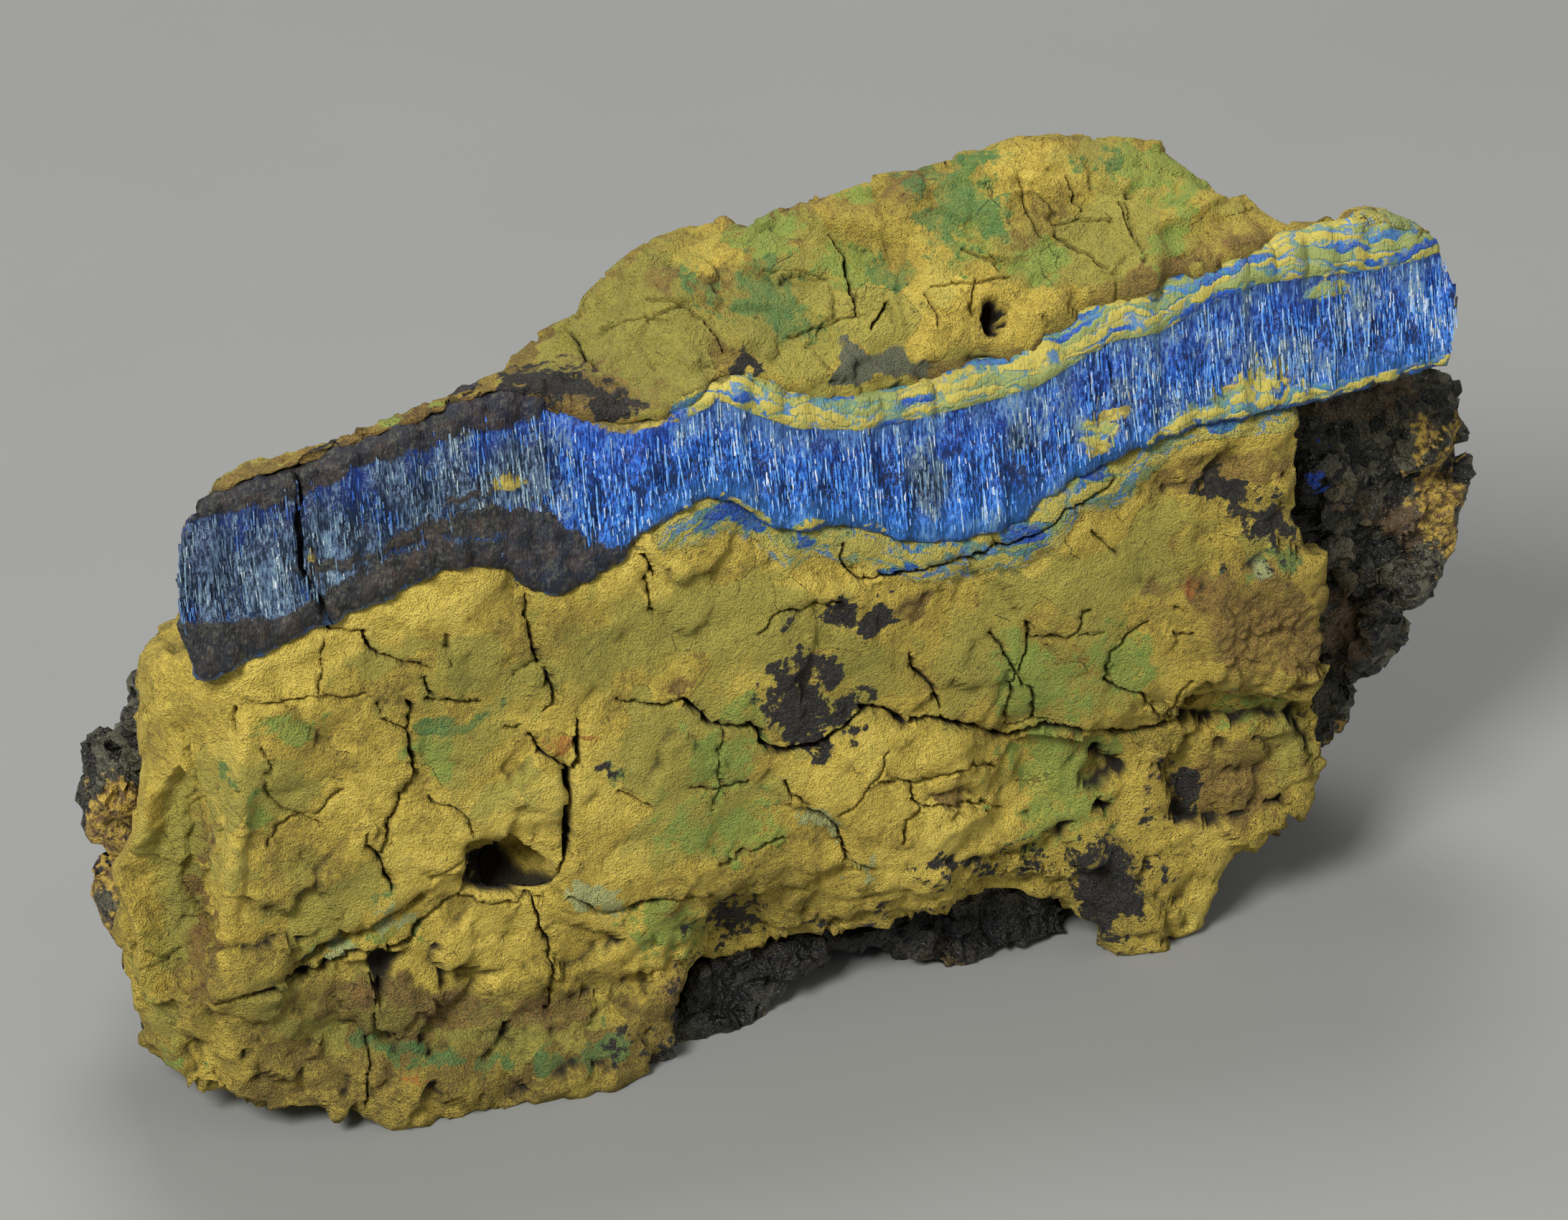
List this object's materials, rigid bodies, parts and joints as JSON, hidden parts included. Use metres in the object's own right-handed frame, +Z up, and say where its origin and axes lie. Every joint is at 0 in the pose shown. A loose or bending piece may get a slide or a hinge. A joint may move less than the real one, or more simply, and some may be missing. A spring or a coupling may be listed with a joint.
{
  "type": "azurite mineral specimen",
  "caption": "Block of cracked yellow-ochre rock with a wavy blue vein of upright fibres near its top and a black knobbly crust behind; rests flat as a display mineral.",
  "frame": {"origin": "under the middle of the specimen's box, on the surface that it rests on", "axes": "+X along the vein to the right end, +Y from the broken front face into the rock, +Z up"},
  "size_m": [0.0648, 0.0228, 0.0384],
  "materials": {
    "ochre": "dull, earthy, cracked",
    "azurite": "silky fibres with bright glints",
    "cap_ochre": "dull, earthy, with green stains",
    "crust": "rough with small shiny lumps"
  },
  "bodies": {
    "root": {"ochre_matrix": "ochre", "azurite_vein": "azurite", "ochre_cap": "cap_ochre", "dark_crust": "crust"}
  },
  "joints": []
}
